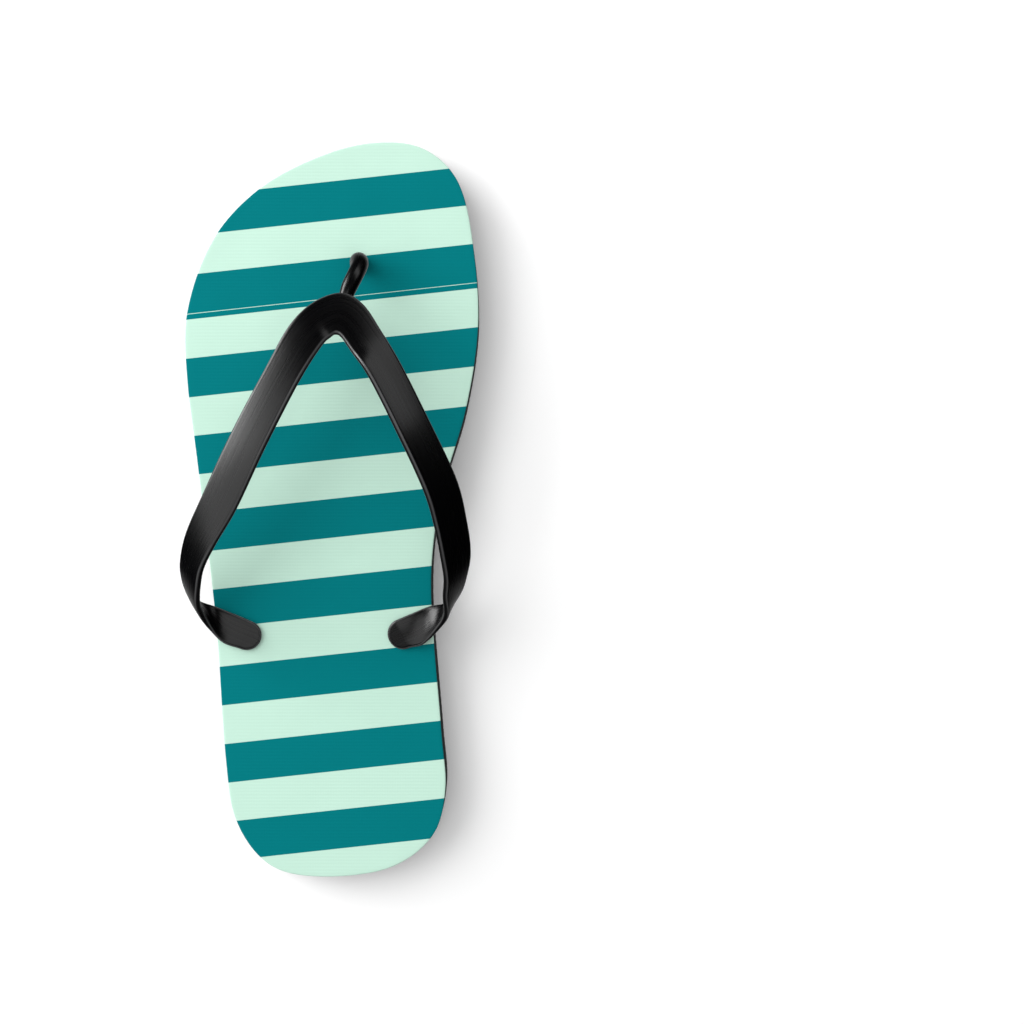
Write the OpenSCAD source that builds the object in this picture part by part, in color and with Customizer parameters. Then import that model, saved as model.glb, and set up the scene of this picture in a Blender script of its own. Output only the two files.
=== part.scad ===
// Flip flop for the left foot: a die-cut three-layer sole and a moulded thong strap.
// The toe points along +Y, the inner (big toe) side is at +X and the sole stands on z = 0.

/* [Sole] */
// Thickness of the black rubber outsole
outsole_t = 5; // [4:0.5:8]
// Thickness of the black foam midsole
midsole_t = 10; // [6:0.5:16]
// Thickness of the printed fabric glued to the footbed
fabric_t = 0.8; // [0.6:0.1:1.2]

/* [Strap] */
// Thickness of the flat strap
strap_t = 2.2; // [1.8:0.1:2.6]
// Width of the bevel along each edge of the strap
strap_bevel = 0.7; // [0.3:0.1:0.9]
// Radius of the round pad where each arm stands on the footbed
pad_r = 5.5; // [4.5:0.1:6]
// Diameter of the toe post at its top bend
post_d = 5.8; // [4.8:0.1:6]
// Diameter of the round foot of the toe post on the footbed
collar_d = 6.8; // [6.8:0.1:7.6]
// Diameter of the stems that go down through the sole
stem_d = 5.4; // [4:0.1:5.6]

/* [Plugs] */
// Diameter of each retaining plug under the sole
plug_d = 14; // [12:0.5:16]
// Thickness of each plug
plug_t = 2.2; // [1.6:0.1:2.6]
// Depth that a plug sits above the tread face
plug_sink = 0.4; // [0.2:0.1:0.8]
// Diameter of the raised ring moulded on each plug
ring_d = 4.4; // [3.5:0.1:6]

/* [Hidden] */

footbed_z = outsole_t + midsole_t + fabric_t;
stem_gap = 0.1;         // radial gap round a stem in the sole
plug_gap = 0.5;         // radial gap round a plug in its recess
recess_h = plug_sink + plug_t + 0.1;
socket_h = 1.2;         // depth of the stem's socket in a plug
bevel_drop = 0.6 * strap_bevel;  // fall of the strap's bevel towards its side wall
ring_w = 0.6;
ring_h = 0.3;
collar_h = 1.2;         // height over which the toe post's foot flares
post_sides = 12;
outline_steps = 6;      // chords between two outline points
strap_steps = 3;        // rings between two strap stations
post_steps = 3;         // rings between two toe post stations

// Places where the three stems pass through the sole
outer_hole = [-31, -46];
inner_hole = [26, -45.5];
toe_hole = [10, 90];

// Points that the die-cut outline passes through, from the heel up the inner side to the toe
// and back down the outer side
outline = [
    [-4.5, -134.5], [20.5, -131.5], [36.5, -120], [41.5, -103], [40, -80], [36.5, -35],
    [37.5, -9.5], [42, 12.5], [49, 36.5], [53.5, 66], [52, 95], [46.5, 119.5],
    [34, 132], [17, 134.5], [-3, 130], [-26, 118], [-43.5, 99], [-53, 72.5],
    [-53, 47.5], [-49, 15], [-42.5, -41], [-39, -90], [-35, -114], [-23, -130]
];

// The strap's two long edges, as pairs [front edge, rear edge] from the outer pad over the
// toe cleft to the inner pad, with heights above the footbed. Each arm leaves its pad outwards
// with its foot side up, stands on its front edge beside the foot and leans in over it.
strap_edges = [
    [[-29, -41, 1.1], [-33, -51, 1.1]],
    [[-36, -38, 1.1], [-39.5, -48.5, 2.4]],
    [[-42.5, -35.5, 1.5], [-43.5, -43.5, 5.2]],
    [[-48.5, -33.5, 3.7], [-45, -38, 11.7]],
    [[-50.5, -30, 7.7], [-45, -33.5, 18.2]],
    [[-51.5, -24, 12.7], [-43.5, -27, 23.7]],
    [[-51, -18, 17.2], [-41.5, -20.5, 26.7]],
    [[-48, -8.5, 22.7], [-36.5, -12, 29.9]],
    [[-41.5, 4.5, 27.2], [-28.5, 0.5, 33.2]],
    [[-30, 27.5, 30.7], [-18, 21.5, 36.7]],
    [[-18.5, 49, 31.2], [-6.5, 44, 36.2]],
    [[-11, 63.5, 28.7], [0.5, 56, 33]],
    [[-3, 72, 26.2], [3.5, 59.5, 30.5]],
    [[6.5, 75.5, 24.2], [5, 60.5, 29.7]],
    [[14, 71.5, 24.7], [7, 59.5, 30.2]],
    [[20.5, 62, 27.7], [11, 54, 33]],
    [[27.5, 50, 30.2], [17.5, 45, 38.2]],
    [[37, 31, 31.2], [27, 26.5, 40.2]],
    [[46.5, 10.5, 27.7], [36, 6.5, 36.7]],
    [[50, -4.5, 22.7], [39.5, -6, 32.2]],
    [[51, -15, 17.2], [41.5, -17, 27.7]],
    [[49.5, -23, 12.7], [42.5, -24.5, 23.7]],
    [[47.2, -29.3, 7.7], [42, -31, 18.2]],
    [[43, -34, 3.7], [42.2, -38.2, 11.7]],
    [[36, -35.5, 1.5], [39, -43.6, 7.3]],
    [[29.5, -38, 1.1], [33.7, -49, 3.6]],
    [[23.5, -40.5, 1.1], [28.5, -50.5, 1.1]]
];

// Middle line of the toe post above the footbed, from its hole back to where it dies away
// under the strap. The fourth number is the post's width there as a share of post_d.
post_path = [
    [10, 90, 0, 1.12], [10.5, 89.9, 6, 1.1], [11.4, 88.8, 11.5, 1.06], [11.8, 86.4, 16, 1.02],
    [10.6, 82.2, 20, 1], [8.7, 77.5, 22, 0.95], [7.2, 72, 23.4, 0.7], [6.4, 66.5, 25, 0.35]
];

// Point at t on the smooth curve that runs from b to c, with a before and d after them
function spline(a, b, c, d, t) =
    0.5 * (2 * b + (c - a) * t + (2 * a - 5 * b + 4 * c - d) * t * t
    + (3 * b - a - 3 * c + d) * t * t * t);

function closed_spline(p, n) =
    let (m = len(p))
    [for (i = [0 : m - 1], k = [0 : n - 1])
        spline(p[(i + m - 1) % m], p[i], p[(i + 1) % m], p[(i + 2) % m], k / n)];

function open_spline(p, n) =
    let (m = len(p), before = 2 * p[0] - p[1], after = 2 * p[m - 1] - p[m - 2])
    [for (i = [0 : m - 2], k = [0 : i == m - 2 ? n : n - 1])
        spline(i == 0 ? before : p[i - 1], p[i], p[i + 1], i == m - 2 ? after : p[i + 2], k / n)];

function unit(v) = v / norm(v);

// Direction of a polyline at its point i
function along(p, i) = unit(p[min(i + 1, len(p) - 1)] - p[max(i - 1, 0)]);

// Skin over rings of m points each, with a flat cap on both ends
module skin(rings) {
    n = len(rings);
    m = len(rings[0]);
    walls = [for (i = [0 : n - 2], j = [0 : m - 1])
        let (a = i * m + j, b = i * m + (j + 1) % m)
        each [[a, a + m, b], [b, a + m, b + m]]];
    caps = [[for (j = [0 : m - 1]) j], [for (j = [m - 1 : -1 : 0]) (n - 1) * m + j]];
    polyhedron([for (r = rings) each r], concat(walls, caps), convexity = 10);
}

// Bevelled flat section of the strap between its front edge f and rear edge r
function strap_ring(f, r, dir) =
    let (across = unit(r - f), up = unit(cross(across, dir)) * strap_t / 2)
    let (inset = across * strap_bevel, low = up * (1 - 2 * bevel_drop / strap_t))
    [f + low, f + inset + up, r - inset + up, r + low, r - low, r - inset - up, f + inset - up, f - low];

module strap_band() {
    front = open_spline([for (e = strap_edges) e[0]], strap_steps);
    rear = open_spline([for (e = strap_edges) e[1]], strap_steps);
    middle = (front + rear) / 2;
    skin([for (i = [0 : len(front) - 1]) strap_ring(front[i], rear[i], along(middle, i))]);
}

// Round section of radius r about c, square to the direction dir, which never lies along X
function round_ring(c, dir, r) =
    let (side = unit(cross(dir, [1, 0, 0])), up = cross(side, dir))
    [for (j = [0 : post_sides - 1])
        let (a = -360 * j / post_sides) c + r * (cos(a) * side + sin(a) * up)];

module toe_post() {
    stations = open_spline(post_path, post_steps);
    path = [for (p = stations) [p.x, p.y, p.z]];
    skin([for (i = [0 : len(path) - 1])
        round_ring(path[i], along(path, i), stations[i][3] * post_d / 2)]);
}

module sole_holes(h) {
    for (p = [outer_hole, inner_hole, toe_hole])
        translate([p[0], p[1], -1]) cylinder(d = stem_d + 2 * stem_gap, h = h + 2, $fn = 48);
}

module sole_layer(z, h) {
    translate([0, 0, z])
        difference() {
            linear_extrude(h) polygon(closed_spline(outline, outline_steps));
            sole_holes(h);
        }
}

module outsole() {
    color("#1e1e1f")
        difference() {
            sole_layer(0, outsole_t);
            for (p = [outer_hole, inner_hole, toe_hole])
                translate([p[0], p[1], -1])
                    cylinder(d = plug_d + 2 * plug_gap, h = recess_h + 1, $fn = 64);
        }
}

module midsole() {
    color("#262627") sole_layer(outsole_t, midsole_t);
}

module top_fabric() {
    color("#017e84") sole_layer(outsole_t + midsole_t, fabric_t);
}

// Stem of the strap from its socket in a plug up to height top
module stem(p, top) {
    z = plug_sink + plug_t - socket_h;
    translate([p[0], p[1], z]) cylinder(d = stem_d, h = top - z, $fn = 48);
}

module strap() {
    color("#161617") {
        translate([0, 0, footbed_z]) {
            strap_band();
            toe_post();
            for (p = [outer_hole, inner_hole])
                translate([p[0], p[1], 0]) cylinder(r = pad_r, h = strap_t, $fn = 48);
            translate([toe_hole[0], toe_hole[1], 0])
                cylinder(d1 = collar_d, d2 = post_path[0][3] * post_d, h = collar_h, $fn = 48);
        }
        for (p = [outer_hole, inner_hole, toe_hole]) stem(p, footbed_z + strap_t / 2);
    }
}

// Retaining disc with a socket for the stem above and a raised ring below
module plug(p) {
    color("#303031")
        translate([p[0], p[1], plug_sink]) {
            difference() {
                cylinder(d = plug_d, h = plug_t, $fn = 64);
                translate([0, 0, plug_t - socket_h]) cylinder(d = stem_d, h = socket_h + 1, $fn = 48);
            }
            translate([0, 0, -ring_h])
                difference() {
                    cylinder(d = ring_d, h = ring_h + 0.1, $fn = 48);
                    translate([0, 0, -1]) cylinder(d = ring_d - 2 * ring_w, h = ring_h + 2, $fn = 48);
                }
        }
}

module toe_plug() plug(toe_hole);

module inner_plug() plug(inner_hole);

module outer_plug() plug(outer_hole);

outsole();
midsole();
top_fabric();
strap();
toe_plug();
inner_plug();
outer_plug();
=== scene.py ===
"""Builds the looks of a left-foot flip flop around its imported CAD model.

The toe points along +Y, the big toe side is at +X and the tread stands on z = 0. Lengths are in
metres. The pieces are the printed fabric footbed, the die-cut foam midsole, the rubber outsole with
its tread, the moulded thong strap and the three plugs that hold it.
"""

import math

import bmesh
import bpy
import numpy as np
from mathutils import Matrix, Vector


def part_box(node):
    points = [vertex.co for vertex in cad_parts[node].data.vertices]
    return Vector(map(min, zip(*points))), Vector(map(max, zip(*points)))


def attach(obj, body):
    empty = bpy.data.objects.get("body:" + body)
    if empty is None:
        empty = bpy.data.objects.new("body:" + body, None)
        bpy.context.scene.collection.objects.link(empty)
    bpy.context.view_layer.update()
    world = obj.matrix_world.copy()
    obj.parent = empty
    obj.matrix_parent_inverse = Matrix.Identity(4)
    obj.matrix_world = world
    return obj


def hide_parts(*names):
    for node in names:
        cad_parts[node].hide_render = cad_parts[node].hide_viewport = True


bl_info = {
    "name": "Flip Flop",
    "version": (1, 0, 0),
    "blender": (4, 5, 0),
    "location": "View3D > Sidebar > Flip Flop",
    "description": "Builds a striped flip flop around its packed CAD model",
    "category": "Add Mesh",
}

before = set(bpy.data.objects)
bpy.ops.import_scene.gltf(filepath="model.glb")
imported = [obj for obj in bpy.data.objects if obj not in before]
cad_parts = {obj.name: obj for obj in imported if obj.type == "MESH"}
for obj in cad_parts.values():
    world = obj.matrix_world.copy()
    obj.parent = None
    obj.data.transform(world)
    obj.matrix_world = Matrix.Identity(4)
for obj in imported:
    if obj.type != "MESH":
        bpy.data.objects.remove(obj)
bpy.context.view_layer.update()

MM = 0.001
FOOTBED_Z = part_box("top_fabric")[1].z
PLUGS = ("toe_plug", "inner_plug", "outer_plug")


def linear(code):
    """Linear RGBA of an sRGB hex colour such as #CDF2E0."""
    srgb = [int(code[i:i + 2], 16) / 255 for i in (1, 3, 5)]
    return (*[c / 12.92 if c <= 0.04045 else ((c + 0.055) / 1.055) ** 2.4 for c in srgb], 1.0)


# ---------------------------------------------------------------- sizes and colours


def length(name, description, default):
    """Length property in metres."""
    return bpy.props.FloatProperty(name=name, description=description, default=default,
                                   unit="LENGTH", subtype="DISTANCE", precision=5)


def colour(name, description, code):
    """Colour property whose default is an sRGB hex colour."""
    return bpy.props.FloatVectorProperty(name=name, description=description, size=4, min=0, max=1,
                                         subtype="COLOR", default=linear(code))


class FlipFlopSole(bpy.types.PropertyGroup):
    """Sizes and colours of the sole's three layers."""
    stripe_width: length("Stripe width", "Width of each printed stripe, along the foot", 14.27 * MM)
    stripe_tilt: bpy.props.FloatProperty(name="Stripe tilt", description="Angle of the stripes",
                                         default=math.radians(6.2), subtype="ANGLE")
    first_stripe: length("First stripe", "Front edge of the dark stripe nearest the toe", 120.25 * MM)
    second_run: length("Second run", "Front edge of the first light stripe behind the join", 75.3 * MM)
    join_line: length("Join", "Place where two runs of stripes meet, along the foot", 77.22 * MM)
    rib_pitch: length("Fabric rib pitch", "Distance between the fabric's fine ribs", 1.2 * MM)
    dent_depth: length("Dent", "How far the toe post presses the fabric down", 0.3 * MM)
    dent_reach: length("Dent reach", "Distance from the toe post over which the dent fades", 6 * MM)
    fabric_round: length("Fabric edge radius", "Rounding of the footbed's cut edge", 0.35 * MM)
    foam_round: length("Foam edge radius", "Rounding of the foam's cut edges", 0.25 * MM)
    foam_waist: length("Foam waist", "How far the cut foam wall draws in at mid height", 0.3 * MM)
    stem_gap: length("Stem gap", "Space between each stem and the wall of its hole", 0.1 * MM)
    recess_gap: length("Recess gap", "Space between each plug's rim and its recess", 0.5 * MM)
    recess_room: length("Recess room", "Space between each plug and its recess's ceiling", 0.1 * MM)
    diamond_length: length("Diamond length", "Tread lattice period across the foot", 13.8 * MM)
    bar_pitch: length("Bar pitch", "Distance between the tread's cross bars", 3.02 * MM)
    tread_depth: length("Tread depth", "Depth of the pockets between the bars", 0.8 * MM)
    node_x: length("Lattice place X", "A crossing of the tread's diagonals, across", -8.7 * MM)
    node_y: length("Lattice place Y", "A crossing of the tread's diagonals, along", -1.94 * MM)
    dark_print: colour("Dark stripe", "Teal ink on the fabric", "#006F74")
    light_print: colour("Light stripe", "Mint ink on the fabric", "#B7D8C8")
    foam: colour("Foam", "Black foam midsole", "#232324")
    rubber: colour("Rubber", "Black rubber outsole", "#1E1E1F")


class FlipFlopStrap(bpy.types.PropertyGroup):
    """Sizes and colours of the strap and its plugs."""
    thickness: length("Thickness", "Thickness of the flat strap", 2.2 * MM)
    edge_round: length("Edge radius", "Rounding of the strap's edges", 0.9 * MM)
    crown: length("Crown", "How far the outer face swells between its edges", 0.3 * MM)
    post: length("Toe post", "Diameter of the toe post at its top bend", 5.8 * MM)
    # The rim line and the rim colour paint a highlight: a paler line just inside each edge of the strap
    rim_line_place: length("Rim line", "How far inside the edge the painted highlight line runs", 0.35 * MM)
    rim_line_width: length("Rim line width", "Half width of the painted highlight line", 0.2 * MM)
    collar: length("Collar", "Diameter of the toe post's foot", 6.8 * MM)
    collar_fade: length("Collar fade", "Height over which the collar fades into the post", 0.9 * MM)
    stem: length("Stem", "Diameter of the stems inside the sole", 5.4 * MM)
    pvc: colour("Strap", "Black PVC of the strap", "#020203")
    # Colour of the painted highlight along the strap's rim
    painted_rim_highlight: colour("Painted rim highlight", "Paler PVC painted along the rim as a highlight", "#4E4E4F")
    ring: length("Plug ring", "Outer radius of the raised ring on each plug", 2.2 * MM)
    ring_width: length("Plug ring width", "Width of the raised ring", 0.6 * MM)
    ring_height: length("Plug ring height", "Height of the raised ring", 0.3 * MM)
    socket: length("Plug socket", "Depth of the stem's socket in each plug", 1.2 * MM)
    plug: colour("Plugs", "Dark grey PVC of the plugs", "#323233")


class FlipFlopStage(bpy.types.PropertyGroup):
    """Floor, lights and camera."""
    height: length("Camera height", "Height of the camera above the footbed", 0.521)
    aside: length("Camera aside", "Camera's place across the foot, past the big toe side", 0.066)
    back: length("Camera back", "Camera's place along the foot", -0.9 * MM)
    brightness: bpy.props.FloatProperty(name="Brightness", description="Strength of all the lights",
                                        default=1.0, min=0)
    even_light: bpy.props.FloatProperty(name="Even light", description="Strength of the even light "
                                        "from all round", default=0.5, min=0)


# ---------------------------------------------------------------- mesh helpers


def new_piece(name, points, faces, layers=None):
    """Mesh object at the origin from an (n, 3) array of points and an array of equal faces. Doubled
    points are merged, which closes seams and poles, and faces are turned outwards. layers holds a
    UV pair for each point under each layer's name."""
    mesh = bpy.data.meshes.new(name)
    corners = faces.shape[1]
    mesh.vertices.add(len(points))
    mesh.vertices.foreach_set("co", points.astype(np.float32).ravel())
    mesh.loops.add(faces.size)
    mesh.loops.foreach_set("vertex_index", faces.astype(np.int32).ravel())
    mesh.polygons.add(len(faces))
    mesh.polygons.foreach_set("loop_start", np.arange(0, faces.size, corners, dtype=np.int32))
    for layer_name, uv in (layers or {}).items():
        layer = mesh.uv_layers.new(name=layer_name)
        layer.data.foreach_set("uv", uv[faces.ravel()].astype(np.float32).ravel())
    mesh.update(calc_edges=True)
    piece = bpy.data.objects.new(name, mesh)
    bpy.context.scene.collection.objects.link(piece)
    with_mesh(piece, lambda b: (
        bmesh.ops.remove_doubles(b, verts=b.verts, dist=1e-7),
        bmesh.ops.dissolve_degenerate(b, edges=b.edges, dist=1e-8),
        bmesh.ops.recalc_face_normals(b, faces=b.faces)))
    return piece


def with_mesh(piece, work):
    """Runs work on the piece's mesh as a bmesh and writes it back."""
    b = bmesh.new()
    b.from_mesh(piece.data)
    work(b)
    b.to_mesh(piece.data)
    b.free()
    piece.data.update()


def grid_faces(rows, cols, wrap):
    """Quads of a rows by cols grid of points, row after row; wrap joins the last column to the
    first."""
    i = np.arange(rows - 1)[:, None] * cols
    j = np.arange(cols if wrap else cols - 1)[None, :]
    k = (j + 1) % cols
    return np.stack([i + j, i + k, i + cols + k, i + cols + j], -1).reshape(-1, 4)


def boolean(piece, other, operation):
    """Cuts, joins or intersects piece with other, and removes other."""
    modifier = piece.modifiers.new(operation.title(), "BOOLEAN")
    modifier.operation = operation
    modifier.solver = "MANIFOLD"
    modifier.object = other
    depsgraph = bpy.context.evaluated_depsgraph_get()
    result = bpy.data.meshes.new_from_object(piece.evaluated_get(depsgraph))
    piece.modifiers.clear()
    old = piece.data
    piece.data = result
    result.name = piece.name
    bpy.data.meshes.remove(old)
    bpy.data.objects.remove(other)
    if not len(result.polygons):
        raise RuntimeError(f"{operation} left nothing of {piece.name}")
    return piece


def lathe(name, profile, centre, sides=96):
    """Solid of revolution: each (radius, height) of the profile is carried round a vertical axis
    through centre. The profile starts and ends on the axis, so both poles close."""
    angle = np.linspace(0, 2 * np.pi, sides, endpoint=False)
    r, z = np.array(profile, float).T
    points = np.stack([centre[0] + r[:, None] * np.cos(angle), centre[1] + r[:, None] * np.sin(angle),
                       np.repeat(z[:, None], sides, 1)], -1)
    return new_piece(name, points.reshape(-1, 3), grid_faces(len(r), sides, True))


def cylinder(name, centre, radius, low, high):
    """Plain cylinder used to drill and to join."""
    return lathe(name, [(0, low), (radius, low), (radius, high), (0, high)], centre)


def drill(piece, place, radius, low, high):
    """Cuts an upright round hole from height low to height high."""
    boolean(piece, cylinder("drill", place, radius, low, high), "DIFFERENCE")


def drill_for_stem(piece, place, node):
    """Cuts a stem's hole right through the piece that stands for the CAD node."""
    scene = bpy.context.scene
    low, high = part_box(node)
    radius = scene.flip_flop_strap.stem / 2 + scene.flip_flop_sole.stem_gap
    drill(piece, place, radius, low.z - MM, high.z + MM)


def finish_piece(piece, node, material, crease, mirrored=False):
    """Puts the material on a piece, shades it smooth up to the crease angle, and lets it stand for
    its CAD node. The strap doesn't mirror the sole, which would tint its gloss."""
    piece.data.materials.clear()
    piece.data.materials.append(material)
    piece.data.shade_smooth()
    piece.data.set_sharp_from_angle(angle=math.radians(crease))
    piece.visible_glossy = mirrored
    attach(piece, "root")
    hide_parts(node)
    return piece


def spline(points, steps):
    """Smooth curve through the points: on each span a cubic whose slope at a point is half the step
    between that point's neighbours."""
    p = np.asarray(points, float)
    p = np.concatenate([2 * p[:1] - p[1:2], p, 2 * p[-1:] - p[-2:-1]])
    t = np.linspace(0, 1, steps, endpoint=False)[None, :, None]
    a, b, c, d = (p[i:len(p) - 3 + i, None, :] for i in range(4))
    curve = 0.5 * (2 * b + (c - a) * t + (2 * a - 5 * b + 4 * c - d) * t ** 2
                   + (3 * b - a - 3 * c + d) * t ** 3)
    return np.concatenate([curve.reshape(-1, p.shape[1]), p[-2:-1]])


def unit(v):
    """Vectors of length one along v."""
    return v / np.linalg.norm(v, axis=-1, keepdims=True)


# ---------------------------------------------------------------- the sole's outline


def stem_places():
    """Centres of the three stems, from the plugs' boxes: toe, inner and outer."""
    boxes = [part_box(node) for node in PLUGS]
    return [((low.x + high.x) / 2, (low.y + high.y) / 2) for low, high in boxes]


def cad_outline():
    """The die-cut outline's corner points in order round the sole, from the midsole's top rim."""
    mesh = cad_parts["midsole"].data
    co = np.zeros(len(mesh.vertices) * 3, np.float32)
    mesh.vertices.foreach_get("co", co)
    co = co.reshape(-1, 3).astype(float)
    rim = np.unique(np.round(co[co[:, 2] > co[:, 2].max() - 1e-5, :2], 6), axis=0)
    hole_reach = 5 * MM  # takes in the rims of the stems' holes, but no point of the outline
    for place in stem_places():
        rim = rim[np.linalg.norm(rim - place, axis=1) > hole_reach]
    return rim[np.argsort(np.arctan2(rim[:, 1], rim[:, 0]))]


def sole_grid(side=240, cap=150, cap_start=90 * MM):
    """Ring of points round the outline, each with its outward direction and its point on the sole's
    spine. Along the foot the ring's points and the spine share the same y, and round the heel and
    toe they fan out from the spine's ends, so the ring can shrink to the spine with no gap."""
    p = cad_outline()
    steps = 8
    fine = spline(np.concatenate([p[-1:], p, p[:2]]), steps)[steps:-steps]
    right, left = fine[fine[:, 0] > 0], fine[fine[:, 0] < 0]
    y = np.linspace(-cap_start, cap_start, side)
    right, left = (part[np.argsort(part[:, 1])] for part in (right, left))
    x_right, x_left = (np.interp(y, part[:, 1], part[:, 0]) for part in (right, left))
    middle = np.stack([(x_right + x_left) / 2, y], 1)

    def cap_points(centre, start, end):
        """Points of the outline on rays from the spine's end, from the start to the end point."""
        v = fine - centre
        turn = np.arctan2(v[:, 1], v[:, 0])
        order = np.argsort(turn)
        a, b = (math.atan2(*(q - centre)[::-1]) for q in (start, end))
        angle = np.linspace(a, b if b > a else b + 2 * np.pi, cap)[1:-1]
        radius = np.interp(angle, turn[order], np.linalg.norm(v, axis=1)[order], period=2 * np.pi)
        return centre + radius[:, None] * np.stack([np.cos(angle), np.sin(angle)], 1)

    up, down = np.stack([x_right, y], 1), np.stack([x_left, y], 1)[::-1]
    toe = cap_points(middle[-1], up[-1], down[0])
    heel = cap_points(middle[0], down[-1], up[0])
    ring = np.concatenate([up, toe, down, heel])
    spine = np.concatenate([middle, np.repeat(middle[-1:], len(toe), 0), middle[::-1],
                            np.repeat(middle[:1], len(heel), 0)])
    tangent = unit(np.roll(ring, -1, 0) - np.roll(ring, 1, 0))
    return ring, spine, np.stack([tangent[:, 1], -tangent[:, 0]], 1)


def slab(name, wall, rows=2, relief=None):
    """Closed slab with the sole's outline. wall holds (inset, height) pairs from the lower rim to
    the upper rim; each is a ring drawn in by the inset. The upper and lower faces are rings that
    shrink evenly to the spine in so many rows, and relief(x, y) is added to the upper face."""
    ring, spine, out = sole_grid()
    inset, z = np.array(wall, float).T
    walls = ring[None] - out[None] * inset[:, None, None]
    share = np.linspace(0, 1, rows + 1)[:-1, None, None]
    below = spine + share * (walls[0] - spine)
    above = (spine + share * (walls[-1] - spine))[::-1]
    flat = np.concatenate([below, walls, above])
    height = np.repeat(np.concatenate([np.full(rows, z[0]), z, np.full(rows, z[-1])])[:, None],
                       len(ring), 1)
    if relief is not None:
        top = len(below) + len(walls) - 1
        height[top:] += relief(flat[top:, :, 0], flat[top:, :, 1])
    points = np.concatenate([flat, height[..., None]], -1).reshape(-1, 3)
    return new_piece(name, points, grid_faces(len(flat), len(ring), True))


def rim(radius, inset, z, steps, up):
    """Quarter-round rim: (inset, height) pairs from the wall to the face if up, or from the face to
    the wall if not."""
    a = np.linspace(0, np.pi / 2, steps + 1)
    pairs = np.stack([inset + radius * (1 - np.cos(a)), z + (radius * np.sin(a) if up
                     else -radius * np.sin(a))], 1)
    return pairs if up else pairs[::-1]


# ---------------------------------------------------------------- materials


def add_node(tree, kind, inputs=None, **settings):
    """Adds a node, applies its settings, and sets or links its inputs."""
    node = tree.nodes.new(kind)
    for key, value in settings.items():
        setattr(node, key, value)
    for key, value in (inputs or {}).items():
        if isinstance(value, bpy.types.NodeSocket):
            tree.links.new(value, node.inputs[key])
        else:
            node.inputs[key].default_value = value
    return node


def new_material(name, colour_value, roughness):
    """Material with one Principled shader. Returns the material, its node tree and the shader."""
    material = bpy.data.materials.new(name)
    material.use_nodes = True
    material.diffuse_color = colour_value
    tree = material.node_tree
    surface = tree.nodes["Principled BSDF"]
    surface.inputs["Base Color"].default_value = colour_value
    surface.inputs["Roughness"].default_value = roughness
    return material, tree, surface


def object_point(tree):
    """Object coordinates, in metres in the shoe's own frame."""
    return add_node(tree, "ShaderNodeTexCoord").outputs["Object"]


def bump(tree, surface, height, distance, strength=1.0):
    """Bump of that height in metres where the height input is 1."""
    node = add_node(tree, "ShaderNodeBump", {"Height": height, "Distance": distance,
                                             "Strength": strength})
    tree.links.new(node.outputs["Normal"], surface.inputs["Normal"])


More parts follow.
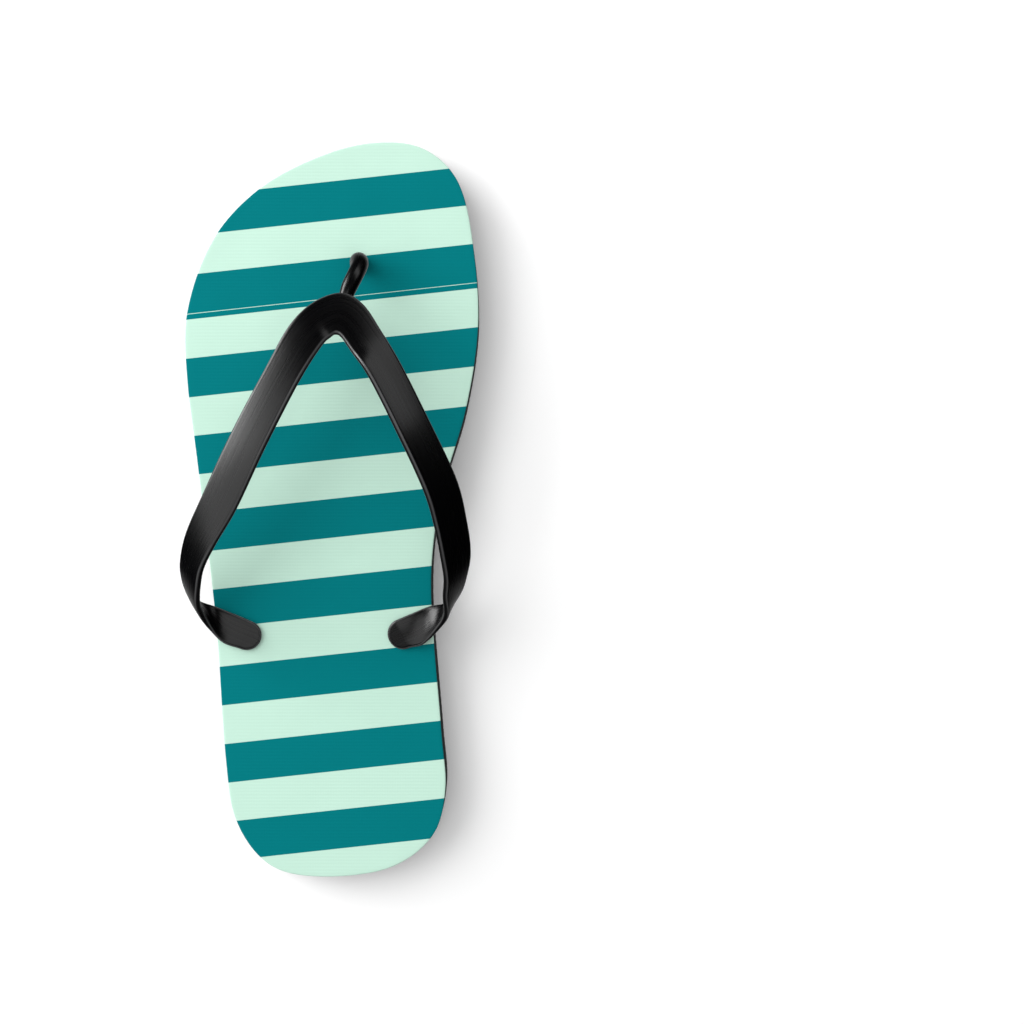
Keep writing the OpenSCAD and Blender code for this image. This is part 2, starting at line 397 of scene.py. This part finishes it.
def printed_polyester():
    """Polyester knit, dye-printed in stripes. The print is flat and matt, and the fabric's fine
    cross ribs catch the light; a faint painted shade darkens the troughs between them."""
    sole = bpy.context.scene.flip_flop_sole
    material, tree, surface = new_material("printed_polyester", sole.light_print, 0.85)
    surface.inputs["Specular IOR Level"].default_value = 0.05
    surface.inputs["Sheen Weight"].default_value = 0.04
    surface.inputs["Sheen Roughness"].default_value = 0.3
    point = object_point(tree)
    xyz = add_node(tree, "ShaderNodeSeparateXYZ", {"Vector": point}).outputs
    # Distance along the foot with the stripes' tilt taken out
    rise = add_node(tree, "ShaderNodeMath", {0: xyz["X"], 1: -math.tan(sole.stripe_tilt),
                                             2: xyz["Y"]}, operation="MULTIPLY_ADD").outputs[0]
    # Distance back from the front edge of a dark stripe, in the run of stripes that holds the point
    front = add_node(tree, "ShaderNodeMath", {0: rise, 1: sole.join_line},
                     operation="GREATER_THAN").outputs[0]
    behind = sole.second_run + sole.stripe_width
    start = add_node(tree, "ShaderNodeMath", {0: front, 1: sole.first_stripe - behind, 2: behind},
                     operation="MULTIPLY_ADD").outputs[0]
    back = add_node(tree, "ShaderNodeMath", {0: start, 1: rise}, operation="SUBTRACT").outputs[0]
    turns = add_node(tree, "ShaderNodeMath", {0: back, 1: 2 * sole.stripe_width},
                     operation="DIVIDE").outputs[0]
    part = add_node(tree, "ShaderNodeMath", {0: turns}, operation="FRACT").outputs[0]
    light = add_node(tree, "ShaderNodeMath", {0: part, 1: 0.5}, operation="GREATER_THAN").outputs[0]
    print_colour = add_node(tree, "ShaderNodeMix", {"Factor": light, "A": tuple(sole.dark_print),
                                                    "B": tuple(sole.light_print)},
                            data_type="RGBA").outputs[2]
    # Slow unevenness of the dye
    cloud = add_node(tree, "ShaderNodeTexNoise", {"Vector": point, "Scale": 60.0, "Detail": 3.0})
    tone = add_node(tree, "ShaderNodeMapRange", {"Value": cloud.outputs["Fac"], "To Min": 0.97,
                                                 "To Max": 1.03}).outputs[0]
    # Ribs across the foot and finer knit loops along them
    rib = add_node(tree, "ShaderNodeMath", {0: xyz["Y"], 1: 2 * math.pi / sole.rib_pitch},
                   operation="MULTIPLY").outputs[0]
    rib = add_node(tree, "ShaderNodeMath", {0: rib}, operation="SINE").outputs[0]
    loop = add_node(tree, "ShaderNodeMath", {0: xyz["X"], 1: 4 * math.pi / sole.rib_pitch},
                    operation="MULTIPLY").outputs[0]
    loop = add_node(tree, "ShaderNodeMath", {0: loop}, operation="SINE").outputs[0]
    knit = add_node(tree, "ShaderNodeMath", {0: loop, 1: 0.35, 2: rib},
                    operation="MULTIPLY_ADD").outputs[0]
    # Painted shade: the colour is slightly darker in the troughs between the ribs
    dark = add_node(tree, "ShaderNodeMapRange", {"Value": rib, "From Min": -1.0, "To Min": 0.99,
                                                 "To Max": 1.004}).outputs[0]
    tone = add_node(tree, "ShaderNodeMath", {0: tone, 1: dark}, operation="MULTIPLY").outputs[0]
    ink = add_node(tree, "ShaderNodeVectorMath", {0: print_colour, "Scale": tone},
                   operation="SCALE").outputs["Vector"]
    tree.links.new(ink, surface.inputs["Base Color"])
    bump(tree, surface, knit, 0.008 * MM)
    return material


def cut_foam():
    """Closed-cell EVA foam, die-cut. The cut wall is matt and full of tiny open cells."""
    sole = bpy.context.scene.flip_flop_sole
    material, tree, surface = new_material("cut_eva_foam", sole.foam, 0.8)
    surface.inputs["Specular IOR Level"].default_value = 0.3
    point = object_point(tree)
    cells = add_node(tree, "ShaderNodeTexVoronoi", {"Vector": point, "Scale": 1 / (0.5 * MM)},
                     feature="F1").outputs["Distance"]
    bump(tree, surface, cells, 0.12 * MM)
    cloud = add_node(tree, "ShaderNodeTexNoise", {"Vector": point, "Scale": 250.0}).outputs["Fac"]
    tone = add_node(tree, "ShaderNodeMapRange", {"Value": cloud, "To Min": 0.8,
                                                 "To Max": 1.25}).outputs[0]
    shade = add_node(tree, "ShaderNodeVectorMath", {0: tuple(sole.foam)[:3], "Scale": tone},
                     operation="SCALE").outputs["Vector"]
    tree.links.new(shade, surface.inputs["Base Color"])
    return material


def tread_rubber():
    """Black vulcanised rubber, moulded. A soft dull shine with a fine grain."""
    sole = bpy.context.scene.flip_flop_sole
    material, tree, surface = new_material("moulded_rubber", sole.rubber, 0.55)
    surface.inputs["Specular IOR Level"].default_value = 0.4
    point = object_point(tree)
    grain = add_node(tree, "ShaderNodeTexNoise", {"Vector": point, "Scale": 1 / (0.4 * MM),
                                                  "Detail": 2.0}).outputs["Fac"]
    bump(tree, surface, grain, 0.02 * MM)
    dust = add_node(tree, "ShaderNodeTexNoise", {"Vector": point, "Scale": 40.0,
                                                 "Detail": 4.0}).outputs["Fac"]
    rough = add_node(tree, "ShaderNodeMapRange", {"Value": dust, "To Min": 0.48,
                                                  "To Max": 0.64}).outputs[0]
    tree.links.new(rough, surface.inputs["Roughness"])
    return material


def strap_pvc():
    """Soft black PVC, injection moulded with a satin skin. Faint flow lines run along the arms."""
    strap = bpy.context.scene.flip_flop_strap
    material, tree, surface = new_material("satin_pvc", strap.pvc, 0.28)
    # A faint bloom on the skin lightens the edges, which are seen at a grazing angle
    surface.inputs["Sheen Weight"].default_value = 0.2
    surface.inputs["Sheen Roughness"].default_value = 0.2
    along = add_node(tree, "ShaderNodeUVMap", uv_map="Lengthwise").outputs["UV"]
    stretched = add_node(tree, "ShaderNodeMapping", {"Vector": along, "Scale": (15.0, 900.0, 1.0)})
    lines = add_node(tree, "ShaderNodeTexNoise", {"Vector": stretched.outputs["Vector"],
                                                  "Scale": 1.0, "Detail": 2.0}).outputs["Fac"]
    bump(tree, surface, lines, 0.03 * MM)
    rough = add_node(tree, "ShaderNodeMapRange", {"Value": lines, "To Min": 0.22,
                                                  "To Max": 0.34}).outputs[0]
    tree.links.new(rough, surface.inputs["Roughness"])
    # A thin line just inside each rim is painted paler, as a painted highlight
    rim_line = add_node(tree, "ShaderNodeUVMap", uv_map="Rim").outputs["UV"]
    rim_line = add_node(tree, "ShaderNodeSeparateXYZ", {"Vector": rim_line}).outputs["X"]
    skin = add_node(tree, "ShaderNodeMix", {"Factor": rim_line, "A": tuple(strap.pvc),
                                            "B": tuple(strap.painted_rim_highlight)}, data_type="RGBA").outputs[2]
    tree.links.new(skin, surface.inputs["Base Color"])
    return material


def plug_pvc():
    """Dark grey PVC, injection moulded with a dull skin."""
    strap = bpy.context.scene.flip_flop_strap
    material, tree, surface = new_material("dull_pvc", strap.plug, 0.5)
    point = object_point(tree)
    grain = add_node(tree, "ShaderNodeTexNoise", {"Vector": point, "Scale": 1 / (0.5 * MM),
                                                  "Detail": 3.0}).outputs["Fac"]
    bump(tree, surface, grain, 0.02 * MM)
    return material


# ---------------------------------------------------------------- the sole's layers


class FLIPFLOP_OT_footbed(bpy.types.Operator):
    """Printed fabric footbed, pressed down a little round the toe post"""
    bl_idname = "flip_flop.footbed"
    bl_label = "Footbed fabric"

    def execute(self, context):
        sole = context.scene.flip_flop_sole
        low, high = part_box("top_fabric")
        toe = stem_places()[0]

        def pressed(x, y):
            """Dent that fades as a bell curve with the distance from the toe post."""
            away = ((x - toe[0]) ** 2 + (y - toe[1]) ** 2) / sole.dent_reach ** 2
            return -sole.dent_depth * np.exp(-away)

        r = sole.fabric_round
        wall = np.concatenate([[(0.0, low.z), (0.0, high.z - r)],
                               rim(r, 0.0, high.z - r, 5, True)[1:]])
        piece = slab("footbed_fabric", wall, rows=40, relief=pressed)
        for place in stem_places():
            drill_for_stem(piece, place, "top_fabric")
        finish_piece(piece, "top_fabric", printed_polyester(), 40)
        x, y = sole_grid()[0].T
        return {"FINISHED"}


class FLIPFLOP_OT_midsole(bpy.types.Operator):
    """Die-cut foam midsole, whose wall draws in slightly at mid height"""
    bl_idname = "flip_flop.midsole"
    bl_label = "Foam midsole"

    def execute(self, context):
        sole = context.scene.flip_flop_sole
        low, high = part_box("midsole")
        edge = sole.foam_round
        t = np.linspace(0, 1, 13)
        z = low.z + edge + t * (high.z - low.z - 2 * edge)
        waist = np.stack([sole.foam_waist * np.sin(np.pi * t) ** 0.7, z], 1)
        wall = np.concatenate([rim(edge, 0.0, low.z + edge, 3, False)[:-1], waist,
                               rim(edge, 0.0, high.z - edge, 3, True)[1:]])
        piece = slab("foam_midsole", wall)
        for place in stem_places():
            drill_for_stem(piece, place, "midsole")
        finish_piece(piece, "midsole", cut_foam(), 40)
        return {"FINISHED"}


# The tread's grid, in steps: the pitch of the cross bars, the length of a diamond, half the flat top
# of a bar, and one flank of a diagonal ridge
STEPS_PER_BAR = 9
STEPS_PER_DIAMOND = 36
BAR_HALF_STEPS = 2
RIDGE_FLANK_STEPS = 4


def tread_block(sole, low, high):
    """Closed block whose underside is the tread and whose top is flat at height high.

    The tread's depth at a point is the least of three: the cross bars' depth, which is 0 on each
    bar and the full depth in the pocket beside it, and the depths of the two sets of diagonal
    ridges, which grow in proportion to the distance from the nearest crest up to the full depth.
    The grid's steps divide the bar pitch and the diamond evenly, so every crest, rim and foot of
    the pattern runs along its points."""
    margin = 2 * MM
    step_x, step_y = sole.diamond_length / STEPS_PER_DIAMOND, sole.bar_pitch / STEPS_PER_BAR

    def steps_from(node, start, end, step):
        """Whole steps counted from the lattice node, from before the start to past the end."""
        first, last = (start - margin - node) / step, (end + margin - node) / step
        return np.arange(math.floor(first), math.ceil(last)).astype(float)

    def away(n, period):
        """Distance of n from the nearest multiple of period."""
        return np.abs((n + period / 2) % period - period / 2)

    def depth(a, b):
        """Depth at lattice place (a, b), as a share of the full depth."""
        bars = np.clip(away(b, STEPS_PER_BAR) - BAR_HALF_STEPS, 0, 1)
        rising, falling = (np.clip(away(a + s * b, STEPS_PER_DIAMOND) / RIDGE_FLANK_STEPS, 0, 1)
                           for s in (-1, 1))
        return np.minimum(np.minimum(bars, rising), falling)

    a, b = np.meshgrid(steps_from(sole.node_x, low.x, high.x, step_x),
                       steps_from(sole.node_y, low.y, high.y, step_y))
    d = depth(a, b)
    x, y = sole.node_x + a * step_x, sole.node_y + b * step_y
    under = np.stack([x, y, d * sole.tread_depth], -1)
    rows, cols = d.shape
    corner = np.arange(rows * cols).reshape(rows, cols)
    p, q, r, s = (corner[:-1, :-1], corner[:-1, 1:], corner[1:, 1:], corner[1:, :-1])
    # Each square is split along the diagonal that lies in the surface
    centre = depth(a[:-1, :-1] + 0.5, b[:-1, :-1] + 0.5)
    d0, d1, d2, d3 = d[:-1, :-1], d[:-1, 1:], d[1:, 1:], d[1:, :-1]
    rising = (np.abs((d0 + d2) / 2 - centre) <= np.abs((d1 + d3) / 2 - centre))[..., None]
    one = np.where(rising, np.stack([p, r, q], -1), np.stack([p, s, q], -1)).reshape(-1, 3)
    two = np.where(rising, np.stack([p, s, r], -1), np.stack([q, s, r], -1)).reshape(-1, 3)
    # Walls and top: the rim of the grid is joined to one point in the middle of the top
    rim_line = np.concatenate([corner[0, :], corner[1:, -1], corner[-1, -2::-1], corner[-2:0:-1, 0]])
    n, m = rows * cols, len(rim_line)
    lid = under.reshape(-1, 3)[rim_line] * (1, 1, 0) + (0, 0, high.z + margin)
    middle = [[0.0, 0.0, high.z + margin]]
    k = np.arange(m)
    k2 = (k + 1) % m
    walls = np.concatenate([np.stack([rim_line[k], rim_line[k2], n + k2], 1),
                            np.stack([rim_line[k], n + k2, n + k], 1),
                            np.stack([n + k, n + k2, np.full(m, n + m)], 1)])
    points = np.concatenate([under.reshape(-1, 3), lid, middle])
    return new_piece("rubber_outsole", points, np.concatenate([one, two, walls]))


class FLIPFLOP_OT_outsole(bpy.types.Operator):
    """Rubber outsole: the tread pattern cut to the sole's outline, with recesses for the plugs"""
    bl_idname = "flip_flop.outsole"
    bl_label = "Rubber outsole"

    def execute(self, context):
        sole = context.scene.flip_flop_sole
        low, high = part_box("outsole")
        piece = tread_block(sole, low, high)
        boolean(piece, slab("cutter", [(0.0, low.z - MM), (0.0, high.z)]), "INTERSECT")
        plug_low, plug_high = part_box("toe_plug")
        recess = (plug_high.x - plug_low.x) / 2 + sole.recess_gap
        for place in stem_places():
            drill(piece, place, recess, low.z - MM, plug_high.z + sole.recess_room)
            drill_for_stem(piece, place, "outsole")
        # Flat facets that lie in one plane become one face
        with_mesh(piece, lambda b: bmesh.ops.dissolve_limit(
            b, angle_limit=math.radians(0.2), verts=b.verts, edges=b.edges))
        finish_piece(piece, "outsole", tread_rubber(), 12)
        return {"FINISHED"}


# ---------------------------------------------------------------- the strap and its plugs

# The strap's two long edges, in millimetres and with heights above the footbed, as pairs
# [front edge, rear edge] from the outer pad over the toe cleft to the inner pad
STRAP_EDGES = [
    [[-29, -41, 1.1], [-33, -51, 1.1]],
    [[-36, -38, 1.1], [-39.5, -48.5, 2.4]],
    [[-42.5, -35.5, 1.5], [-43.5, -43.5, 5.2]],
    [[-48.5, -33.5, 3.7], [-45, -38, 11.7]],
    [[-50.5, -30, 7.7], [-45, -33.5, 18.2]],
    [[-51.5, -24, 12.7], [-43.5, -27, 23.7]],
    [[-51, -18, 17.2], [-41.5, -20.5, 26.7]],
    [[-48, -8.5, 22.7], [-36.5, -12, 29.9]],
    [[-41.5, 4.5, 27.2], [-28.5, 0.5, 33.2]],
    [[-30, 27.5, 30.7], [-18, 21.5, 36.7]],
    [[-18.5, 49, 31.2], [-6.5, 44, 36.2]],
    [[-11, 63.5, 28.7], [0.5, 56, 33]],
    [[-3, 72, 26.2], [3.5, 59.5, 30.5]],
    [[6.5, 75.5, 24.2], [5, 60.5, 29.7]],
    [[14, 71.5, 24.7], [7, 59.5, 30.2]],
    [[20.5, 62, 27.7], [11, 54, 33]],
    [[27.5, 50, 30.2], [17.5, 45, 38.2]],
    [[37, 31, 31.2], [27, 26.5, 40.2]],
    [[46.5, 10.5, 27.7], [36, 6.5, 36.7]],
    [[50, -4.5, 22.7], [39.5, -6, 32.2]],
    [[51, -15, 17.2], [41.5, -17, 27.7]],
    [[49.5, -23, 12.7], [42.5, -24.5, 23.7]],
    [[47.2, -29.3, 7.7], [42, -31, 18.2]],
    [[43, -34, 3.7], [42.2, -38.2, 11.7]],
    [[36, -35.5, 1.5], [39, -43.6, 7.3]],
    [[29.5, -38, 1.1], [33.7, -49, 3.6]],
    [[23.5, -40.5, 1.1], [28.5, -50.5, 1.1]],
]

# Middle line of the toe post, in the same way, from its hole back to where it dies away under the
# strap. The fourth number is the post's width there as a share of its diameter.
POST_PATH = [
    [10, 90, 0, 1.12], [10.5, 89.9, 6, 1.1], [11.4, 88.8, 11.5, 1.06], [11.8, 86.4, 16, 1.02],
    [10.6, 82.2, 20, 1], [8.7, 77.5, 22, 0.95], [7.2, 72, 23.4, 0.7], [6.4, 66.5, 25, 0.35],
]


def strap_band(strap):
    """The flat band. Its section at each place runs from the front edge curve to the rear edge
    curve; both faces sink to the edges along a quarter round, and the outer face swells as a
    parabola. Beyond each end of the edge curves the band's plan is half a circle, whose sections
    are its chords."""
    edges = np.array(STRAP_EDGES, float) * MM + (0, 0, FOOTBED_Z)
    front, rear = spline(edges[:, 0], 12), spline(edges[:, 1], 12)
    centre = (front + rear) / 2
    forward = unit(np.gradient(centre, axis=0))
    across = unit(rear - front)
    half = np.linalg.norm(rear - front, axis=1) / 2
    lift = unit(np.cross(across, forward))
    # Half-circle ends: a chord at distance R cos(t) from the end's centre is 2 R sin(t) wide
    t = np.linspace(0, np.pi / 2, 15)[:-1]
    ends = []
    for k, sign in ((0, -1), (-1, 1)):
        way = unit(np.cross(lift[k], across[k])) * sign
        way *= -1 if way @ (forward[k] * sign) < 0 else 1
        c = centre[k] + way * (half[k] * np.cos(t))[:, None]
        ends.append((c, np.repeat(across[[k]], len(t), 0), half[k] * np.sin(t),
                     np.repeat(lift[[k]], len(t), 0), half[k] * np.cos(t)))
    (c0, a0, h0, l0, e0), (c1, a1, h1, l1, e1) = ends
    centre = np.concatenate([c0, centre, c1[::-1]])
    across = np.concatenate([a0, across, a1[::-1]])
    chord = np.concatenate([h0, half, h1[::-1]])
    lift = np.concatenate([l0, lift, l1[::-1]])
    beyond = np.concatenate([e0, np.zeros(len(half)), e1[::-1]])
    reach = np.concatenate([np.full(len(t), half[0]), half, np.full(len(t), half[-1])])
    # Places across the band, packed towards the edges
    v = np.sin(np.linspace(-np.pi / 2, np.pi / 2, 27))
    side = chord[:, None] * v
    to_edge = np.maximum(reach[:, None] - np.hypot(side, beyond[:, None]), 0)
    r = strap.edge_round
    sink = r - np.sqrt(np.maximum(r ** 2 - np.maximum(r - to_edge, 0) ** 2, 0))
    half_t = strap.thickness / 2
    swell = strap.crown * (1 - (side / reach[:, None]) ** 2)
    outer = half_t - sink + np.where(sink < r, swell, 0)
    inner = -(half_t - sink)
    flat = centre[:, None] + across[:, None] * side[..., None]
    top = flat + lift[:, None] * outer[..., None]
    under = flat + lift[:, None] * inner[..., None]
    points = np.concatenate([top, under[:, ::-1]], 1)
    run = np.concatenate([[0], np.cumsum(np.linalg.norm(np.diff(centre, axis=0), axis=1))])
    spot = np.concatenate([side, side[:, ::-1]], 1)
    uv = np.stack([np.repeat(run[:, None], points.shape[1], 1), spot], -1).reshape(-1, 2)
    rows, cols = points.shape[:2]
    # Rim line, the mask of the painted highlight: 1 in the middle of a thin line just inside each edge,
    # 0 away from it
    rim_line = np.exp(-((to_edge - strap.rim_line_place) / strap.rim_line_width) ** 2)
    rim_line = np.concatenate([rim_line, rim_line[:, ::-1]], 1).ravel()
    return new_piece("thong_strap", points.reshape(-1, 3), grid_faces(rows, cols, True),
                     {"Lengthwise": uv, "Rim": np.stack([rim_line, rim_line], 1)})


def tube(name, path, radius, sides=40):
    """Round tube along a path: each ring is square to the path, and the ends are flat caps."""
    forward = unit(np.gradient(path, axis=0))
    side = unit(np.cross(forward, [1.0, 0.0, 0.0]))
    up = np.cross(side, forward)
    a = np.linspace(0, 2 * np.pi, sides, endpoint=False)[None, :, None]
    rings = path[:, None] + radius[:, None, None] * (np.cos(a) * side[:, None] + np.sin(a) * up[:, None])
    first, last = (np.repeat(path[k][None, None], sides, 1) for k in (0, -1))
    points = np.concatenate([first, rings, last])
    run = np.concatenate([[0], np.cumsum(np.linalg.norm(np.diff(path, axis=0), axis=1))])
    run = np.concatenate([run[:1], run, run[-1:]])
    turn = np.linspace(0, 2 * np.pi, sides, endpoint=False) * radius.mean()
    uv = np.stack(np.broadcast_arrays(run[:, None], turn[None]), -1).reshape(-1, 2)
    return new_piece(name, points.reshape(-1, 3), grid_faces(len(points), sides, True),
                     {"Lengthwise": uv})


class FLIPFLOP_OT_strap(bpy.types.Operator):
    """Moulded strap in one piece: the band, the toe post with its collar, and the stems"""
    bl_idname = "flip_flop.strap"
    bl_label = "Thong strap"

    def execute(self, context):
        strap = context.scene.flip_flop_strap
        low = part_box("strap")[0].z
        piece = strap_band(strap)
        toe, *pads = stem_places()
        inside_pad = FOOTBED_Z + 1.2 * MM
        for place in pads:
            boolean(piece, cylinder("stem", place, strap.stem / 2, low, inside_pad), "UNION")
        stations = spline(POST_PATH, 10)
        path = stations[:, :3] * MM + (0, 0, FOOTBED_Z)
        radius = stations[:, 3] * strap.post / 2
        # The collar fades up the post as a bell curve
        rise = path[:, 2] - FOOTBED_Z
        radius += (strap.collar / 2 - radius[0]) * np.exp(-(rise / strap.collar_fade) ** 2)
        in_hole = FOOTBED_Z - 0.2 * MM
        below = np.array([[toe[0], toe[1], low], [toe[0], toe[1], in_hole]])
        path = np.concatenate([below, path])
        radius = np.concatenate([[strap.stem / 2, strap.stem / 2], radius])
        boolean(piece, tube("toe_post", path, radius), "UNION")
        finish_piece(piece, "strap", strap_pvc(), 35, mirrored=True)
        return {"FINISHED"}


def plug_profile(strap, radius, bottom, top):
    """Profile of a plug: over the raised ring, across the face and up a low step to the rounded
    rim, then up the side, over the chamfer and down into the stem's socket."""
    face = bottom + strap.ring_height
    ring_in, ring_out = strap.ring - strap.ring_width, strap.ring
    foot, shoulder = 0.1 * MM, 0.05 * MM  # how far the ring's flank spreads and rounds
    chamfer = 0.3 * MM
    hole, floor = strap.stem / 2, top - strap.socket
    ring = [(0, face), (ring_in - foot, face), (ring_in + shoulder, bottom + shoulder),
            ((ring_in + ring_out) / 2, bottom), (ring_out - shoulder, bottom + shoulder),
            (ring_out + foot, face)]
    # The face's step and rounded rim, as distances in from the rim and up from the face
    rim_curve = [(1.2, 0), (1.0, 0.06), (0.45, 0.08), (0.15, 0.2), (0, 0.5)]
    side = [(radius - inward * MM, face + up * MM) for inward, up in rim_curve]
    back = [(radius, top - chamfer), (radius - chamfer, top), (hole, top), (hole, floor), (0, floor)]
    return ring + side + back


class FLIPFLOP_OT_plugs(bpy.types.Operator):
    """Round plugs under the sole: chamfered discs with a raised ring below and a socket above"""
    bl_idname = "flip_flop.plugs"
    bl_label = "Plugs"

    def execute(self, context):
        strap = context.scene.flip_flop_strap
        material = plug_pvc()
        for node, place in zip(PLUGS, stem_places()):
            low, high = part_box(node)
            profile = plug_profile(strap, (high.x - low.x) / 2, low.z, high.z)
            finish_piece(lathe(node + "_disc", profile, place), node, material, 30)
        return {"FINISHED"}


# ---------------------------------------------------------------- floor, lights and camera


# Soft boxes: compass angle from +X and angle from straight up, both in degrees, width and height in
# metres, brightness, and whether glossy surfaces mirror the box
SOFT_BOXES = {
    "key": (178, 50, 1.1, 0.9, 1.3, True),
    "key_spread": (150, 48, 1.2, 1.2, 2.4, False),
    "overhead": (0, 0, 1.0, 1.0, 1.1, True),
    "toe_side": (56, 70, 1.3, 0.5, 1.2, True),
    "low_strip": (149, 80, 0.9, 0.7, 8.0, True),
}
BOX_DISTANCE = 1.3


def soft_box(name, compass, tilt, width, height, radiance, mirrored, brightness):
    """Rectangular area light that faces the shoe. Its power is radiance times pi times its area."""
    light = bpy.data.lights.new(name, "AREA")
    light.shape = "RECTANGLE"
    light.size, light.size_y = width, height
    light.energy = radiance * brightness * math.pi * width * height
    a, b = math.radians(compass), math.radians(tilt)
    way = Vector((math.cos(a) * math.sin(b), math.sin(a) * math.sin(b), math.cos(b)))
    box = bpy.data.objects.new(name, light)
    box.location = way * BOX_DISTANCE
    box.rotation_euler = way.to_track_quat("Z", "Y").to_euler()
    box.visible_glossy = mirrored
    box.visible_camera = False
    bpy.context.scene.collection.objects.link(box)


def even_light(strength):
    """White world that lights matt surfaces evenly and is a white backdrop for the camera. Glossy
    surfaces mirror it only where they look steeply down, as they would a white table."""
    world = bpy.data.worlds.new("studio")
    world.use_nodes = True
    world.cycles.sampling_method = "NONE"
    tree = world.node_tree
    ray = add_node(tree, "ShaderNodeLightPath").outputs
    way = add_node(tree, "ShaderNodeTexCoord").outputs["Generated"]
    rise = add_node(tree, "ShaderNodeSeparateXYZ", {"Vector": way}).outputs["Z"]
    table = add_node(tree, "ShaderNodeMapRange", {"Value": rise, "From Min": -0.6, "From Max": -0.85,
                                                  "To Min": 0.0, "To Max": 0.3}).outputs[0]
    even = add_node(tree, "ShaderNodeMapRange", {"Value": ray["Is Camera Ray"], "To Min": strength,
                                                 "To Max": 1.0}).outputs[0]
    level = add_node(tree, "ShaderNodeMix", {"Factor": ray["Is Glossy Ray"], "A": even, "B": table})
    background = tree.nodes["Background"]
    background.inputs["Color"].default_value = (1.0, 1.0, 1.0, 1.0)
    tree.links.new(level.outputs[0], background.inputs["Strength"])
    bpy.context.scene.world = world


class FLIPFLOP_OT_stage(bpy.types.Operator):
    """Plain pale floor, soft boxes, even light and the camera"""
    bl_idname = "flip_flop.stage"
    bl_label = "Stage"

    def execute(self, context):
        scene = context.scene
        settings = scene.flip_flop_stage
        half_floor = 3.0
        corners = np.array([[-1, -1, 0], [1, -1, 0], [1, 1, 0], [-1, 1, 0]], float) * half_floor
        floor = new_piece("floor", corners, np.array([[0, 1, 2, 3]]))
        paper, _, _ = new_material("white_paper", linear("#FBFBFB"), 0.9)
        floor.data.materials.append(paper)
        floor.visible_glossy = False
        for name, box in SOFT_BOXES.items():
            soft_box(name, *box, settings.brightness)
        even_light(settings.even_light * settings.brightness)
        camera = bpy.data.cameras.new("camera")
        camera.lens = 50
        camera.sensor_width = 36
        camera_object = bpy.data.objects.new("camera", camera)
        camera_object.location = (settings.aside, settings.back, FOOTBED_Z + settings.height)
        scene.collection.objects.link(camera_object)
        scene.camera = camera_object
        scene.view_settings.view_transform = "Standard"
        return {"FINISHED"}


class FLIPFLOP_PT_panel(bpy.types.Panel):
    """Lists the flip flop's pieces and the settings that they are made from"""
    bl_idname = "FLIPFLOP_PT_panel"
    bl_label = "Flip Flop"
    bl_space_type = "VIEW_3D"
    bl_region_type = "UI"
    bl_category = "Flip Flop"

    def draw(self, context):
        for operator in OPERATORS:
            self.layout.operator(operator.bl_idname)
        for settings in (context.scene.flip_flop_sole, context.scene.flip_flop_strap,
                         context.scene.flip_flop_stage):
            box = self.layout.box()
            for name in settings.__annotations__:
                box.prop(settings, name)


OPERATORS = (FLIPFLOP_OT_stage, FLIPFLOP_OT_footbed, FLIPFLOP_OT_midsole, FLIPFLOP_OT_outsole,
             FLIPFLOP_OT_strap, FLIPFLOP_OT_plugs)
GROUPS = {"flip_flop_sole": FlipFlopSole, "flip_flop_strap": FlipFlopStrap,
          "flip_flop_stage": FlipFlopStage}


def register():
    for cls in (*GROUPS.values(), *OPERATORS, FLIPFLOP_PT_panel):
        bpy.utils.register_class(cls)
    for name, group in GROUPS.items():
        setattr(bpy.types.Scene, name, bpy.props.PointerProperty(type=group))


def unregister():
    for name in GROUPS:
        delattr(bpy.types.Scene, name)
    for cls in (FLIPFLOP_PT_panel, *OPERATORS, *GROUPS.values()):
        bpy.utils.unregister_class(cls)


def main():
    register()
    bpy.ops.flip_flop.stage()
    bpy.ops.flip_flop.footbed()
    bpy.ops.flip_flop.midsole()
    bpy.ops.flip_flop.outsole()
    bpy.ops.flip_flop.strap()
    bpy.ops.flip_flop.plugs()


if __name__ == "__main__":
    main()
